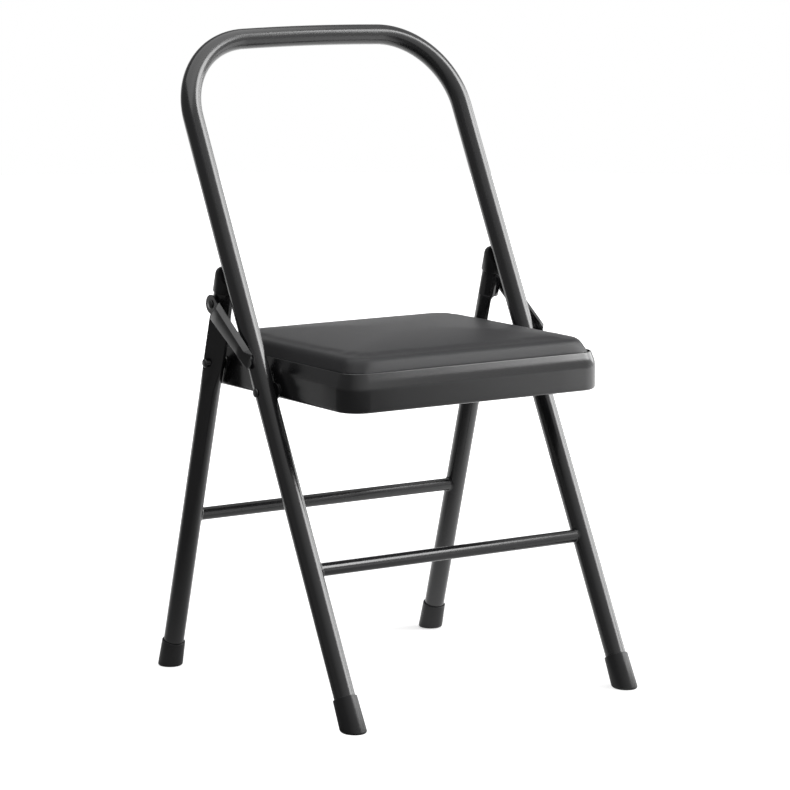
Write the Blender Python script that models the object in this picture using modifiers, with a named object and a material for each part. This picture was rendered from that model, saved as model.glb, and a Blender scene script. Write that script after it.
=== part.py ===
"""Folding yoga chair: metres, +Z up, floor at z = 0, the chair faces -Y."""

import math

import bmesh
import bpy
from mathutils import Matrix, Vector

# Tubes and gaps
TUBE_R = 0.0127
HALF_TRACK = 0.200
GAP = 0.0003
TUBE_SIDES = 24

# Front frame: axis on the floor, lean as dy per dz, height over all
FRONT_FLOOR_Y = -0.2105
FRONT_SLOPE = 0.506
HEIGHT = 0.800
BOW_RADIUS = 0.096

# Rear legs: axis on the floor, lean as dy per dz
REAR_FLOOR_Y = 0.2105
REAR_SLOPE = -0.282

# Crossbars
BAR_R = 0.008
FRONT_BAR_Z = 0.177
REAR_BAR_Z = 0.2018

# Feet
FRONT_FOOT_TALL = 0.0375
REAR_FOOT_TALL = 0.0340
FOOT_RIM_R = 0.0146
FOOT_SOLE_R = 0.0155
FOOT_ROUND = 0.0032
FOOT_LIP = 0.0007
FOOT_SIDES = 28
TUBE_IN_FOOT = 0.0115

# Pivots, each on its tube axis
SEAT_PIVOT_Z = 0.378
LEG_PIVOT_Z = 0.400
LINK_PIN_Z = 0.475
FOLDED_GAP = 0.029
PIN_R = 0.003
HEAD_R = 0.0055
HEAD_TALL = 0.0022
TAIL_R = 0.0044
TAIL_TALL = 0.0018

# Seat pan, in the seat's own frame, which is tilted about the seat pivot
SEAT_TILT = math.radians(0.3)
SPACER_THICK = 0.0017
PAN_HALF = HALF_TRACK - TUBE_R - SPACER_THICK - 2 * GAP
PAN_FRONT_Y = -0.1825
PAN_REAR_Y = 0.1395
PAN_LOW_Z = 0.3715
PAN_RIM_Z = 0.4165
PAN_FLARE = 0.0019
FLARE_FROM_Y = -0.045
PAN_CORNER = 0.030
PAN_SHOULDER = 0.0060
PAN_HEM = 0.0040
PAN_WALL = 0.0015
HEM_WIDE = 0.0080
HEM_THICK = 0.0020
RIM_WIDE = 0.0073
RECESS_DEEP = 0.0095
BOARD_THICK = 0.0055
BOARD_INSET = 0.0042
SCREW_R = 0.0020
SCREW_HEAD_R = 0.0045
SCREW_HEAD_TALL = 0.0026
SCREW_FROM_SIDE = 0.0555
SCREW_FROM_END = 0.0550

# Cushion
CUSHION_INSET = 0.0085
CUSHION_EDGE = 0.0200
CUSHION_CROWN = 0.0105
CUSHION_CORNER = 0.0330

# Rear leg pressing and cap
PRESS_LOW_Z = 0.420
PRESS_HIGH_Z = LINK_PIN_Z - 0.0215
PRESS_BLEND = 0.009
PRESS_FACE = 0.0040
PRESS_TURN = math.radians(34)
CAP_RIM_Z = LINK_PIN_Z + 0.0145
CAP_TOP_Z = CAP_RIM_Z + 0.0302
LEG_IN_CAP = 0.0055
CAP_R = 0.0142
CAP_DOME = 0.0088
LEG_TOP_Z = CAP_RIM_Z + LEG_IN_CAP

# Side link, its inner face measured from the tube's outer side
LINK_STANDS_OFF = 0.0023
LINK_SHEET = 0.0018
LINK_DEEP = 0.0082
LINK_WIDE = 0.0150
LINK_SLOPE = 0.0040
LINK_ROUND = 0.0013
EYE_R = 0.0093
LINK_TAIL = 0.0160
SADDLE_R = 0.0070

# Hinge plate
PLATE_THICK = 0.0022
PLATE_PAST = 0.0110
PLATE_CORNER = 0.0030
SPACER_R = 0.0080
EAR_R = 0.0105

STEEL = (0.030, 0.031, 0.034, 1.0)
PRESSED = (0.045, 0.046, 0.050, 1.0)
RUBBER = (0.012, 0.012, 0.013, 1.0)
LEATHER = (0.070, 0.071, 0.075, 1.0)
ZINC = (0.35, 0.35, 0.36, 1.0)
WOOD = (0.42, 0.30, 0.18, 1.0)

SIDES = (("left", -1), ("right", 1))


def clear_scene():
    for obj in list(bpy.data.objects):
        bpy.data.objects.remove(obj, do_unlink=True)


def make_group(name, hidden=False):
    group = bpy.data.collections.new(name)
    bpy.context.scene.collection.children.link(group)
    group.hide_render = hidden
    return group


def paint(obj, colour, rough, metal=0.0):
    material = bpy.data.materials.new(obj.name)
    material.use_nodes = True
    shader = material.node_tree.nodes["Principled BSDF"]
    shader.inputs["Base Color"].default_value = colour
    shader.inputs["Roughness"].default_value = rough
    shader.inputs["Metallic"].default_value = metal
    material.diffuse_color = colour
    obj.data.materials.clear()
    obj.data.materials.append(material)


def add_object(name, mesh, group):
    obj = bpy.data.objects.new(name, mesh)
    group.objects.link(obj)
    if group.hide_render:
        obj.hide_render = True
        obj.display_type = "WIRE"
    return obj


def mesh_object(name, bm, group, matrix=None):
    bmesh.ops.recalc_face_normals(bm, faces=bm.faces)
    mesh = bpy.data.meshes.new(name)
    bm.to_mesh(mesh)
    bm.free()
    obj = add_object(name, mesh, group)
    if matrix is not None:
        obj.matrix_world = matrix
    return obj


def turned(name, profile, group, base, direction, steps=24, ring=False):
    """A Screw about the line through base; the profile is (radius, height) pairs, top to bottom."""
    mesh = bpy.data.meshes.new(name)
    points = [(radius, 0.0, height) for radius, height in profile]
    edges = [(i, i + 1) for i in range(len(points) - 1)]
    if ring:
        edges.append((len(points) - 1, 0))
    mesh.from_pydata(points, edges, [])
    obj = add_object(name, mesh, group)
    turn = Vector(direction).to_track_quat("Z", "Y").to_matrix().to_4x4()
    obj.matrix_world = Matrix.Translation(base) @ turn
    screw = obj.modifiers.new("turn", "SCREW")
    screw.axis = "Z"
    screw.steps = steps
    screw.render_steps = steps
    screw.use_merge_vertices = True
    screw.merge_threshold = 0.00001
    return obj


def rod(name, start, end, radius, group, steps=16):
    """A plain round bar from start to end."""
    start = Vector(start)
    axis = Vector(end) - start
    profile = [(0.0, axis.length), (radius, axis.length), (radius, 0.0), (0.0, 0.0)]
    return turned(name, profile, group, start, axis, steps)


def boolean(obj, other, operation="DIFFERENCE"):
    modifier = obj.modifiers.new(other.name, "BOOLEAN")
    modifier.operation = operation
    modifier.solver = "EXACT"
    modifier.object = other
    return modifier


def flare(y):
    """How much wider the seat is at this depth than at its pivots."""
    share = (FLARE_FROM_Y - y) / (FLARE_FROM_Y - PAN_FRONT_Y)
    return 1.0 + PAN_FLARE / PAN_HALF * min(1.0, max(0.0, share))


def slab(name, half, y_front, y_rear, z_low, z_high, corner, group, matrix, top=0.0, low=0.0):
    """A box with rounded upright corners and, where asked, rounded top and lower edges.

    Like the seat, it widens a little towards the front.
    """
    bm = bmesh.new()
    bmesh.ops.create_cube(bm, size=1.0)
    size = (2 * half, y_rear - y_front, z_high - z_low)
    centre = (0.0, (y_rear + y_front) / 2, (z_high + z_low) / 2)
    for vert in bm.verts:
        vert.co = Vector([vert.co[i] * size[i] + centre[i] for i in range(3)])
    upright = [e for e in bm.edges if abs(e.verts[0].co.z - e.verts[1].co.z) > 1e-6]
    bmesh.ops.bevel(bm, geom=upright, offset=corner, segments=6, profile=0.5, affect="EDGES")
    for level, radius in ((z_high, top), (z_low, low)):
        if radius <= 0.0:
            continue
        loop = [e for e in bm.edges if all(abs(v.co.z - level) < 1e-7 for v in e.verts)]
        bmesh.ops.bevel(bm, geom=loop, offset=radius, segments=3, profile=0.5, affect="EDGES")
    geometry = bm.verts[:] + bm.edges[:] + bm.faces[:]
    bmesh.ops.bisect_plane(bm, geom=geometry, plane_co=(0, FLARE_FROM_Y, 0), plane_no=(0, 1, 0))
    for vert in bm.verts:
        vert.co.x *= flare(vert.co.y)
    return mesh_object(name, bm, group, matrix)


def to_mesh(curve_object, name, group):
    """The curve as a welded mesh object, in the curve's place."""
    bpy.context.view_layer.update()
    graph = bpy.context.evaluated_depsgraph_get()
    mesh = bpy.data.meshes.new_from_object(curve_object.evaluated_get(graph))
    mesh.name = name
    bm = bmesh.new()
    bm.from_mesh(mesh)
    bmesh.ops.remove_doubles(bm, verts=bm.verts, dist=0.000001)
    bmesh.ops.recalc_face_normals(bm, faces=bm.faces)
    bm.to_mesh(mesh)
    bm.free()
    place = curve_object.matrix_world.copy()
    bpy.data.objects.remove(curve_object, do_unlink=True)
    obj = add_object(name, mesh, group)
    obj.matrix_world = place
    return obj


def plate(name, outline, centre, x_way, y_way, thick, group):
    """A flat outline with its middle plane through centre, as thick as asked."""
    curve = bpy.data.curves.new(name + "_outline", "CURVE")
    curve.dimensions = "2D"
    curve.fill_mode = "BOTH"
    curve.extrude = thick / 2
    spline = curve.splines.new("POLY")
    spline.points.add(len(outline) - 1)
    for point, (x, y) in zip(spline.points, outline):
        point.co = (x, y, 0.0, 1.0)
    spline.use_cyclic_u = True
    flat = bpy.data.objects.new(name + "_outline", curve)
    group.objects.link(flat)
    z_way = x_way.cross(y_way)
    turn = Matrix((x_way, y_way, z_way)).transposed().to_4x4()
    flat.matrix_world = Matrix.Translation(centre) @ turn
    return to_mesh(flat, name, group)


def arc(centre, radius, start, end, steps):
    """Points on a circle, angles in degrees."""
    points = []
    for i in range(steps + 1):
        angle = math.radians(start + (end - start) * i / steps)
        points.append((centre[0] + radius * math.cos(angle), centre[1] + radius * math.sin(angle)))
    return points


def front_at(z):
    return Vector((0.0, FRONT_FLOOR_Y + FRONT_SLOPE * z, z))


def rear_at(z):
    return Vector((0.0, REAR_FLOOR_Y + REAR_SLOPE * z, z))


FRONT_UP = Vector((0.0, FRONT_SLOPE, 1.0)).normalized()
FRONT_BEHIND = Vector((0.0, FRONT_UP.z, -FRONT_UP.y))
REAR_UP = Vector((0.0, REAR_SLOPE, 1.0)).normalized()

SEAT_PIVOT = front_at(SEAT_PIVOT_Z)
LEG_PIVOT = rear_at(LEG_PIVOT_Z)
LINK_PIN = rear_at(LINK_PIN_Z)


def link_pivot():
    """The point of the front tube axis at one distance from the link pin, open and folded."""
    reach = (LEG_PIVOT - SEAT_PIVOT).length
    drop = math.sqrt(reach**2 - FOLDED_GAP**2)
    leg_folded = SEAT_PIVOT - drop * FRONT_UP + FOLDED_GAP * FRONT_BEHIND
    pin_folded = leg_folded + (LINK_PIN - LEG_PIVOT).length * FRONT_UP
    here = LINK_PIN - SEAT_PIVOT
    there = pin_folded - SEAT_PIVOT
    along = (here.length_squared - there.length_squared) / (2 * FRONT_UP.dot(here - there))
    return SEAT_PIVOT + along * FRONT_UP


LINK_PIVOT = link_pivot()
LINK_LONG = (LINK_PIN - LINK_PIVOT).length
LINK_ALONG = (LINK_PIN - LINK_PIVOT).normalized()
LINK_ACROSS = Vector((0.0, -LINK_ALONG.z, LINK_ALONG.y))
SEAT_FRAME = Matrix.Translation(SEAT_PIVOT) @ Matrix.Rotation(SEAT_TILT, 4, "X")
SEAT_FRAME = SEAT_FRAME @ Matrix.Translation(-SEAT_PIVOT)
OUTER = HALF_TRACK + TUBE_R
INNER = HALF_TRACK - TUBE_R
BORE_R = TUBE_R + GAP
HOLE_R = PIN_R + GAP
LINK_IN = OUTER + LINK_STANDS_OFF
LINK_OUT = LINK_IN + LINK_SHEET + GAP
BOSS_OUT = OUTER + LINK_STANDS_OFF / 2
BLIND_END = INNER + TUBE_R / 3
PLATE_IN = PAN_HALF - PAN_WALL - GAP - PLATE_THICK - GAP
CUT_PAST = TUBE_R / 3
DECK_TOP_Z = PAN_RIM_Z - RECESS_DEEP
DECK_LOW_Z = DECK_TOP_Z - PAN_WALL


def at_x(point, x):
    return Vector((x, point.y, point.z))


def front_tube(group, cutters):
    """The legs and the bow, swept as one curve in the leaning plane."""
    start = TUBE_IN_FOOT
    top = (HEIGHT - TUBE_R) / FRONT_UP.z
    side = HALF_TRACK
    path = [(-side, start)]
    path += arc((-side + BOW_RADIUS, top - BOW_RADIUS), BOW_RADIUS, 180, 90, 12)
    path += arc((side - BOW_RADIUS, top - BOW_RADIUS), BOW_RADIUS, 90, 0, 12)
    path.append((side, start))
    curve = bpy.data.curves.new("front_frame_path", "CURVE")
    curve.dimensions = "3D"
    curve.bevel_depth = TUBE_R
    curve.bevel_resolution = (TUBE_SIDES - 4) // 2
    curve.use_fill_caps = True
    spline = curve.splines.new("POLY")
    spline.points.add(len(path) - 1)
    foot = front_at(0.0)
    for point, (x, along) in zip(spline.points, path):
        place = foot + along * FRONT_UP
        point.co = (x, place.y, place.z, 1.0)
    swept = bpy.data.objects.new("front_frame_path", curve)
    group.objects.link(swept)
    tube = to_mesh(swept, "front_frame_tube", group)
    for word, side in SIDES:
        hole = tube_hole("cut_seat_pivot_" + word, SEAT_PIVOT, side, INNER - CUT_PAST, cutters)
        boolean(tube, hole)
        hole = tube_hole("cut_link_pivot_" + word, LINK_PIVOT, side, BLIND_END, cutters)
        boolean(tube, hole)
    return tube


def tube_hole(name, point, side, inner, cutters):
    """A cutter for a rivet hole, from inner out past the tube's outer side."""
    return rod(name, at_x(point, side * inner), at_x(point, side * (OUTER + CUT_PAST)), HOLE_R, cutters)


def tube_cutter(name, point, up, side, cutters):
    """A short stretch of the tube with its gap, to cope what meets it near this point."""
    reach = up * (3 * TUBE_R)
    low = at_x(point - reach, side * HALF_TRACK)
    high = at_x(point + reach, side * HALF_TRACK)
    return rod(name, low, high, BORE_R, cutters, TUBE_SIDES)


def crossbar(name, centre, up, group, cutters):
    """A round bar whose ends are coped to the two legs it joins."""
    bar = rod(name, at_x(centre, -HALF_TRACK), at_x(centre, HALF_TRACK), BAR_R, group, 20)
    for word, side in SIDES:
        boolean(bar, tube_cutter("cut_" + name + "_" + word, centre, up, side, cutters))
    return bar


def foot(name, side, base, up, tall, group):
    """A rubber cup round the tube end: a loft from its level sole to its square rim."""
    rim = tall / up.z
    bed = TUBE_IN_FOOT - GAP
    across = Vector((0.0, up.z, -up.y))
    centre = at_x(base, side * HALF_TRACK)
    bm = bmesh.new()

    def ring(radius, height, level):
        """Square to the leg at height along it or, where level is set, at height over the floor."""
        verts = []
        for i in range(FOOT_SIDES):
            angle = 2 * math.pi * i / FOOT_SIDES
            reach = across * (radius * math.sin(angle))
            along = (height - reach.z) / up.z if level else height
            out = Vector((side * radius * math.cos(angle), 0.0, 0.0))
            verts.append(bm.verts.new(centre + out + reach + up * along))
        return verts

    rings = []
    for degrees in (0, 30, 60, 90):
        angle = math.radians(degrees)
        radius = FOOT_SOLE_R - FOOT_ROUND * (1 - math.sin(angle))
        rings.append(ring(radius, FOOT_ROUND * (1 - math.cos(angle)), True))
    rings.append(ring(FOOT_RIM_R, rim - FOOT_LIP, False))
    rings.append(ring(FOOT_RIM_R - FOOT_LIP * 0.3, rim - FOOT_LIP * 0.3, False))
    rings.append(ring(FOOT_RIM_R - FOOT_LIP, rim, False))
    rings.append(ring(BORE_R, rim, False))
    rings.append(ring(BORE_R, bed, False))
    bridge(bm, rings)
    return mesh_object(name, bm, group)


def bridge(bm, rings):
    """Faces between neighbouring rings, and one over each end."""
    for lower, upper in zip(rings, rings[1:]):
        count = len(lower)
        for i in range(count):
            j = (i + 1) % count
            bm.faces.new((lower[i], lower[j], upper[j], upper[i]))
    bm.faces.new(rings[0])
    bm.faces.new(rings[-1])


def rivet(name, point, side, inner, outer, group, headed):
    """A rivet along X; inner and outer are where its shank ends, as distance from the middle."""
    head = outer + HEAD_TALL
    profile = [
        (0.0, head),
        (HEAD_R * 0.55, head - HEAD_TALL * 0.10),
        (HEAD_R * 0.88, head - HEAD_TALL * 0.42),
        (HEAD_R, outer + HEAD_TALL * 0.15),
        (HEAD_R, outer),
        (PIN_R, outer),
    ]
    if headed:
        profile += [
            (PIN_R, inner),
            (TAIL_R, inner),
            (TAIL_R, inner - TAIL_TALL * 0.6),
            (TAIL_R * 0.75, inner - TAIL_TALL),
            (0.0, inner - TAIL_TALL),
        ]
    else:
        profile += [(PIN_R, inner), (0.0, inner)]
    return turned(name, profile, group, at_x(point, 0.0), (side, 0, 0), 20)


def washer(name, point, side, inner, outer, radius, group):
    profile = [(HOLE_R, outer), (radius, outer), (radius, inner), (HOLE_R, inner)]
    return turned(name, profile, group, at_x(point, 0.0), (side, 0, 0), 24, ring=True)


def saddle(name, point, up, side, outer, bored, group, cutters):
    """A spacer whose inner face follows the tube it sits on."""
    inner = HALF_TRACK + TUBE_R * 0.7
    if bored:
        obj = washer(name, point, side, inner, outer, SADDLE_R, group)
    else:
        obj = rod(name, at_x(point, side * inner), at_x(point, side * outer), SADDLE_R, group, 24)
    boolean(obj, tube_cutter("cut_" + name, point, up, side, cutters))
    return obj


def press_share(z):
    """How far the rear leg is pressed flat at this height, 0 to 1: each end is an arch."""
    past = max(PRESS_LOW_Z - z, z - PRESS_HIGH_Z, 0.0) / PRESS_BLEND
    return math.sqrt(max(0.0, 1.0 - past**2))


def rear_leg(name, side, group, cutters):
    """A straight tube, pressed flat on its outer front side near the top: a loft."""
    levels = [TUBE_IN_FOOT * REAR_UP.z]
    for i in range(7):
        levels.append(PRESS_LOW_Z - PRESS_BLEND * math.cos(math.pi / 2 * i / 6))
    levels.append((PRESS_LOW_Z + PRESS_HIGH_Z) / 2)
    for i in range(7):
        levels.append(PRESS_HIGH_Z + PRESS_BLEND * math.sin(math.pi / 2 * i / 6))
    levels.append(LEG_TOP_Z)
    outward = Vector((side, 0.0, 0.0))
    behind = Vector((0.0, REAR_UP.z, -REAR_UP.y))
    facing = outward * math.cos(PRESS_TURN) - behind * math.sin(PRESS_TURN)
    beside = outward * math.sin(PRESS_TURN) + behind * math.cos(PRESS_TURN)
    bm = bmesh.new()
    rings = []
    for z in levels:
        share = press_share(z)
        centre = at_x(REAR_UP * (z / REAR_UP.z) + rear_at(0.0), side * HALF_TRACK)
        ring = []
        for i in range(TUBE_SIDES):
            angle = 2 * math.pi * i / TUBE_SIDES
            out = TUBE_R * math.cos(angle)
            across = TUBE_R * math.sin(angle)
            if out > PRESS_FACE:
                flat = PRESS_FACE + (out - PRESS_FACE) * 0.06
                out += (flat - out) * share
            ring.append(bm.verts.new(centre + facing * out + beside * across))
        rings.append(ring)
    bridge(bm, rings)
    leg = mesh_object(name, bm, group)
    boolean(leg, tube_hole("cut_" + name, LEG_PIVOT, side, INNER - CUT_PAST, cutters))
    return leg


def rear_cap(name, side, group, cutters):
    """A plastic cap over the tube end; its slanted front face rests on the front tube."""
    box = Vector((4 * TUBE_R, 4 * TUBE_R, 8 * TUBE_R))
    bm = bmesh.new()
    bmesh.ops.create_cube(bm, size=1.0)
    turn = Matrix((Vector((1.0, 0.0, 0.0)), FRONT_BEHIND, FRONT_UP)).transposed().to_4x4()
    centre = front_at(CAP_RIM_Z) + FRONT_BEHIND * (BORE_R - box.y / 2)
    place = Matrix.Translation(at_x(centre, side * HALF_TRACK)) @ turn @ Matrix.Diagonal(box).to_4x4()
    stop = mesh_object("cut_" + name, bm, cutters, place)
    rim = CAP_RIM_Z / REAR_UP.z
    top = CAP_TOP_Z / REAR_UP.z
    bed = LEG_TOP_Z / REAR_UP.z + GAP
    profile = [
        (0.0, top),
        (CAP_R * 0.40, top - CAP_DOME * 0.04),
        (CAP_R * 0.70, top - CAP_DOME * 0.21),
        (CAP_R * 0.90, top - CAP_DOME * 0.53),
        (CAP_R, top - CAP_DOME),
        (CAP_R, rim + 2 * GAP),
        (CAP_R - GAP, rim),
        (BORE_R, rim),
        (BORE_R, bed),
        (0.0, bed),
    ]
    obj = turned(name, profile, group, at_x(rear_at(0.0), side * HALF_TRACK), REAR_UP, 32)
    boolean(obj, stop)
    return obj


def on_link(along, out, side):
    """A point of the link: along it from the lower pivot, and outward from its inner face."""
    point = LINK_PIVOT + LINK_ALONG * along
    return at_x(point, side * (LINK_IN + out))


def side_link(name, side, group, cutters):
    """A pressed channel, open towards the chair, between two flat round eyes."""
    half = LINK_WIDE / 2
    outward = Vector((side, 0.0, 0.0))
    spread = math.degrees(math.asin(half / EYE_R))
    outline = arc((LINK_LONG, 0.0), EYE_R, spread - 180, 180 - spread, 14)
    outline += arc((-LINK_TAIL, 0.0), EYE_R, spread, 360 - spread, 14)
    link = plate(
        name, outline, on_link(0.0, LINK_SHEET / 2, side),
        LINK_ALONG, outward.cross(LINK_ALONG), LINK_SHEET, group,
    )
    start = HEAD_R + 2 * GAP
    end = LINK_LONG - HEAD_R - LINK_SLOPE

    def channel(word, inset, floor):
        top = LINK_DEEP - inset
        shape = [
            (start + inset, floor),
            (start + inset + LINK_SLOPE, top),
            (end - inset - LINK_SLOPE, top),
            (end - inset, floor),
        ]
        wide = LINK_WIDE - 2 * inset
        return plate(
            "cut_" + name + word, shape, on_link(0.0, 0.0, side), LINK_ALONG, outward, wide, cutters
        )

    body = channel("_channel", 0.0, LINK_SHEET / 3)
    bevel = body.modifiers.new("round", "BEVEL")
    bevel.width = LINK_ROUND
    bevel.segments = 2
    bevel.limit_method = "ANGLE"
    bevel.angle_limit = math.radians(40)
    boolean(link, body, "UNION")
    boolean(link, channel("_hollow", LINK_SHEET, -LINK_SHEET))
    for word, along in (("_pivot", 0.0), ("_pin", LINK_LONG)):
        hole = rod(
            "cut_" + name + word,
            on_link(along, -LINK_SHEET, side),
            on_link(along, 2 * LINK_SHEET, side),
            HOLE_R,
            cutters,
        )
        boolean(link, hole)
    return link


def rounded(corners, radius, steps=3):
    """The outline through these corners, counter-clockwise, with each corner rounded."""
    points = []
    count = len(corners)
    for i in range(count):
        here = Vector(corners[i])
        before = (Vector(corners[i - 1]) - here).normalized()
        after = (Vector(corners[(i + 1) % count]) - here).normalized()
        half = before.angle(after) / 2
        middle = here + (before + after).normalized() * (radius / math.sin(half))
        start = here + before * (radius / math.tan(half)) - middle
        end = here + after * (radius / math.tan(half)) - middle
        first = math.degrees(math.atan2(start.y, start.x))
        last = math.degrees(math.atan2(end.y, end.x))
        if last < first:
            last += 360
        points += arc(middle, radius, first, last, steps)
    return points


def hinge_plate(name, side, group):
    """A stiffener inside the skirt that carries both pivots of one side."""
    front = SEAT_PIVOT
    rear = SEAT_FRAME.inverted() @ LEG_PIVOT
    top = DECK_LOW_Z - 2 * GAP
    low = PAN_LOW_Z + HEM_THICK + GAP
    corners = [
        (front.y - PLATE_PAST, top),
        (front.y - PLATE_PAST, low),
        (front.y + PLATE_PAST, low),
        (rear.y + PLATE_PAST, rear.z - PLATE_PAST * 0.7),
        (rear.y + PLATE_PAST, top),
    ]
    outer = PAN_HALF - PAN_WALL - GAP
    centre = SEAT_FRAME @ Vector((side * (outer - PLATE_THICK / 2), 0.0, 0.0))
    turn = SEAT_FRAME.to_3x3()
    y_way = turn @ Vector((0.0, 1.0, 0.0))
    z_way = turn @ Vector((0.0, 0.0, 1.0))
    outline = rounded(corners, PLATE_CORNER)
    return plate(name, outline, centre, y_way, z_way, PLATE_THICK, group)


def cushion_ring(half, y_front, y_rear, scale):
    """One closed outline of the cushion: rounded corners and two points on each side."""
    middle = (y_front + y_rear) / 2
    corner = CUSHION_CORNER
    corners = (
        (half - corner, y_rear - corner, 0),
        (-half + corner, y_rear - corner, 90),
        (-half + corner, y_front + corner, 180),
        (half - corner, y_front + corner, 270),
    )
    points = []
    for index, (x, y, angle) in enumerate(corners):
        points += arc((x, y), corner, angle, angle + 90, 3)
        next_x, next_y, next_angle = corners[(index + 1) % 4]
        last = Vector(points[-1])
        first = Vector(arc((next_x, next_y), corner, next_angle, next_angle + 90, 3)[0])
        for share in (1 / 3, 2 / 3):
            points.append(tuple(last.lerp(first, share)))
    return [(x * scale, middle + (y - middle) * scale) for x, y in points]


def cushion(group):
    """A padded block: tucked in at the rim, full low on its side, rolling into the crown."""
    half = PAN_HALF - CUSHION_INSET
    y_front = PAN_FRONT_Y + CUSHION_INSET
    y_rear = PAN_REAR_Y - CUSHION_INSET
    base = DECK_TOP_Z + GAP + BOARD_THICK + GAP
    sides = (
        (BOARD_INSET, 0.0),
        (0.0012, 0.10),
        (0.0, 0.36),
        (0.0020, 0.66),
        (0.0078, 0.90),
        (0.0160, 1.00),
    )
    bm = bmesh.new()
    rings = []
    for inset, share in sides:
        outline = cushion_ring(half - inset, y_front + inset, y_rear - inset, 1.0)
        height = base + share * CUSHION_EDGE
        rings.append([bm.verts.new((x * flare(y), y, height)) for x, y in outline])
    inset = sides[-1][0]
    for scale in (0.86, 0.62, 0.30):
        outline = cushion_ring(half - inset, y_front + inset, y_rear - inset, scale)
        height = base + CUSHION_EDGE + CUSHION_CROWN * (1 - scale**3)
        rings.append([bm.verts.new((x * flare(y), y, height)) for x, y in outline])
    bridge(bm, rings)
    pad = mesh_object("seat_cushion", bm, group, SEAT_FRAME)
    smooth = pad.modifiers.new("soften", "SUBSURF")
    smooth.levels = 1
    smooth.render_levels = 1
    return pad


def seat_pan(group, cutters):
    """The pressed pan: rounded shoulder, recess for the cushion, skirt and turned-in hem."""
    pan = slab(
        "seat_pan", PAN_HALF, PAN_FRONT_Y, PAN_REAR_Y, PAN_LOW_Z, PAN_RIM_Z,
        PAN_CORNER, group, SEAT_FRAME, top=PAN_SHOULDER, low=PAN_HEM,
    )
    past = PAN_RIM_Z - PAN_LOW_Z
    cuts = (
        ("cut_pan_recess", RIM_WIDE, DECK_TOP_Z, PAN_RIM_Z + past),
        ("cut_pan_skirt", PAN_WALL, PAN_LOW_Z + HEM_THICK, DECK_LOW_Z),
        ("cut_pan_mouth", HEM_WIDE, PAN_LOW_Z - past, PAN_LOW_Z + 2 * HEM_THICK),
    )
    for name, inset, low, high in cuts:
        cutter = slab(
            name, PAN_HALF - inset, PAN_FRONT_Y + inset, PAN_REAR_Y - inset,
            low, high, PAN_CORNER - inset, cutters, SEAT_FRAME,
        )
        boolean(pan, cutter)
    return pan


def pivot_holes(pan, plates, cutters):
    """One hole at each pivot through the pan wall and the hinge plate."""
    for piece, word, side in zip(plates, ("left", "right"), (-1, 1)):
        for label, point in (("front", SEAT_PIVOT), ("rear", LEG_PIVOT)):
            hole = rod(
                "cut_pan_" + label + "_" + word,
                at_x(point, side * (PAN_HALF - PAN_WALL - 2 * PLATE_THICK)),
                at_x(point, side * (PAN_HALF + PAN_WALL)),
                HOLE_R,
                cutters,
            )
            boolean(pan, hole)
            boolean(piece, hole)


def cushion_screws(pan, board, group, cutters):
    """Four screws from below through the deck into the board."""
    side = PAN_HALF - SCREW_FROM_SIDE
    board_top = DECK_TOP_Z + GAP + BOARD_THICK
    head_top = DECK_LOW_Z - GAP
    tip = board_top - BOARD_THICK * 0.3
    profile = [
        (0.0, tip),
        (SCREW_R, tip - SCREW_R * 0.3),
        (SCREW_R, head_top),
        (SCREW_HEAD_R, head_top),
        (SCREW_HEAD_R, head_top - SCREW_HEAD_TALL * 0.45),
        (SCREW_HEAD_R * 0.66, head_top - SCREW_HEAD_TALL * 0.92),
        (0.0, head_top - SCREW_HEAD_TALL),
    ]
    upward = SEAT_FRAME.to_3x3() @ Vector((0.0, 0.0, 1.0))
    screws = []
    for y in (PAN_FRONT_Y + SCREW_FROM_END, PAN_REAR_Y - SCREW_FROM_END):
        for x in (-side, side):
            number = len(screws) + 1
            base = SEAT_FRAME @ Vector((x, y, 0.0))
            name = "cushion_screw_%d" % number
            screws.append(turned(name, profile, group, base, upward, 16))
            hole = rod(
                "cut_screw_%d" % number,
                SEAT_FRAME @ Vector((x, y, DECK_LOW_Z - PAN_WALL)),
                SEAT_FRAME @ Vector((x, y, tip + GAP)),
                SCREW_R + GAP,
                cutters,
            )
            boolean(pan, hole)
            boolean(board, hole)
    return screws


def seat_parts(group, cutters):
    pan = seat_pan(group, cutters)
    plates = [hinge_plate("hinge_plate_left", -1, group), hinge_plate("hinge_plate_right", 1, group)]
    pivot_holes(pan, plates, cutters)
    inset = CUSHION_INSET + BOARD_INSET
    board = slab(
        "cushion_board", PAN_HALF - inset, PAN_FRONT_Y + inset, PAN_REAR_Y - inset,
        DECK_TOP_Z + GAP, DECK_TOP_Z + GAP + BOARD_THICK, PAN_CORNER - inset, group, SEAT_FRAME,
    )
    screws = cushion_screws(pan, board, group, cutters)
    return pan, board, screws, plates


def hold(children, name, place, group):
    """Hangs the pieces of one moving body on an empty that sits on its joint axis."""
    empty = bpy.data.objects.new(name, None)
    group.objects.link(empty)
    empty.location = place
    empty.empty_display_size = 0.02
    bpy.context.view_layer.update()
    for child in children:
        child.parent = empty
        child.matrix_parent_inverse = empty.matrix_world.inverted()


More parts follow.
